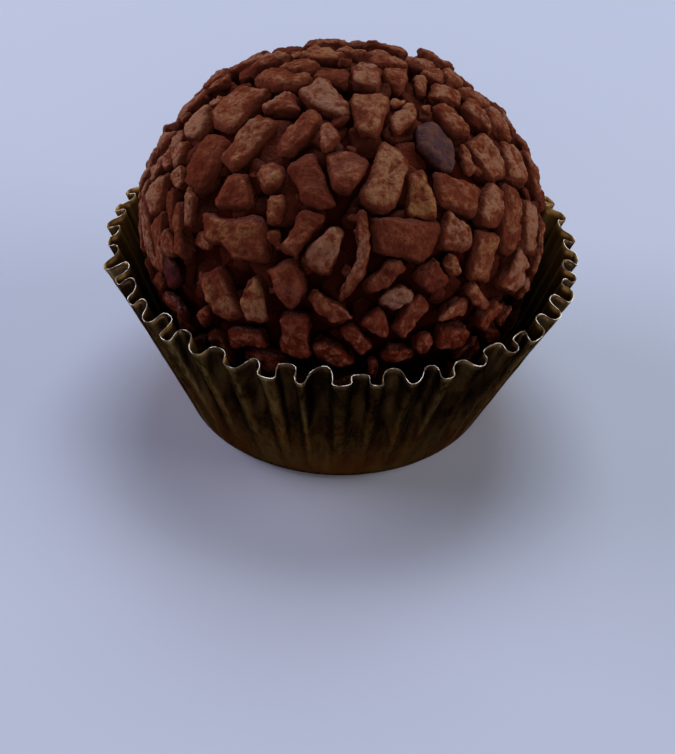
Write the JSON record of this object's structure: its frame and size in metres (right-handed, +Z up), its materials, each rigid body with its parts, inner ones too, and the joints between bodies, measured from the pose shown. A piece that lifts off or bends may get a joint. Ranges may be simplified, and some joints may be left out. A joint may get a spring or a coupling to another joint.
{
  "type": "brigadeiro",
  "caption": "Round chocolate fudge ball coated in broken chocolate flakes, sitting in a pleated foil-paper case with a flared wall and a flat base.",
  "frame": {"origin": "middle of the case's flat base, on the surface that it stands on", "axes": "+Z up, along the axis of the ball and its case; -Y towards the viewer in the usual view"},
  "size_m": [0.0417, 0.0413, 0.032],
  "materials": {
    "chocolate_flakes": "broken milk and dark chocolate, matt and lightly bloomed on top, darker on its sides",
    "foil_paper": "dark olive-gold foil paper with a soft sheen, pale where it is cut"
  },
  "bodies": {
    "root": {"ball": "chocolate_flakes", "case": "foil_paper"}
  },
  "joints": []
}
